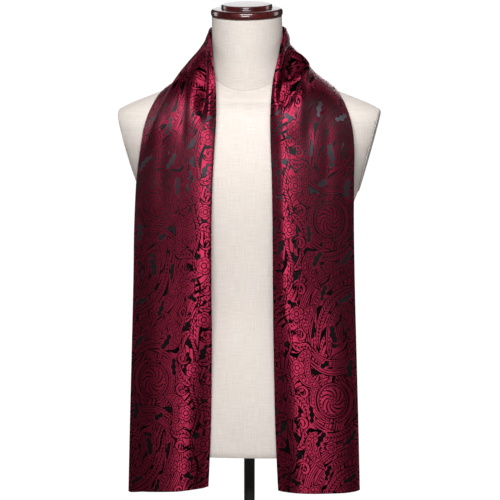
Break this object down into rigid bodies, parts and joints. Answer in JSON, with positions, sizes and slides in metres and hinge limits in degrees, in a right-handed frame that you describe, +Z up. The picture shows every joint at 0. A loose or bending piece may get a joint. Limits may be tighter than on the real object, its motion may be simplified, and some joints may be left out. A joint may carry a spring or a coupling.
{
  "type": "long scarf on dress form",
  "caption": "Long folded silk jacquard scarf draped round the neck of a limbless linen dress form with a turned wooden neck cap, on a pole and round base.",
  "frame": {"origin": "middle of the underside of the stand's round base, on the surface that it stands on", "axes": "+Z up, -Y the front of the form, +X on the right when the front is looked at"},
  "size_m": [0.4464, 0.3, 1.0224],
  "materials": {
    "silk": "satin jacquard, crimson figure on a black ground",
    "linen": "plain off-white linen",
    "wood": "dark red gloss lacquer",
    "steel": "black gloss paint"
  },
  "bodies": {
    "root": {"scarf_nape": "silk", "scarf_end_left": "silk", "scarf_end_right": "silk", "form_body": "linen", "armhole_board_left": "linen", "armhole_board_right": "linen", "neck_cap": "wood", "stand_pole": "steel", "stand_base": "steel"}
  },
  "joints": []
}
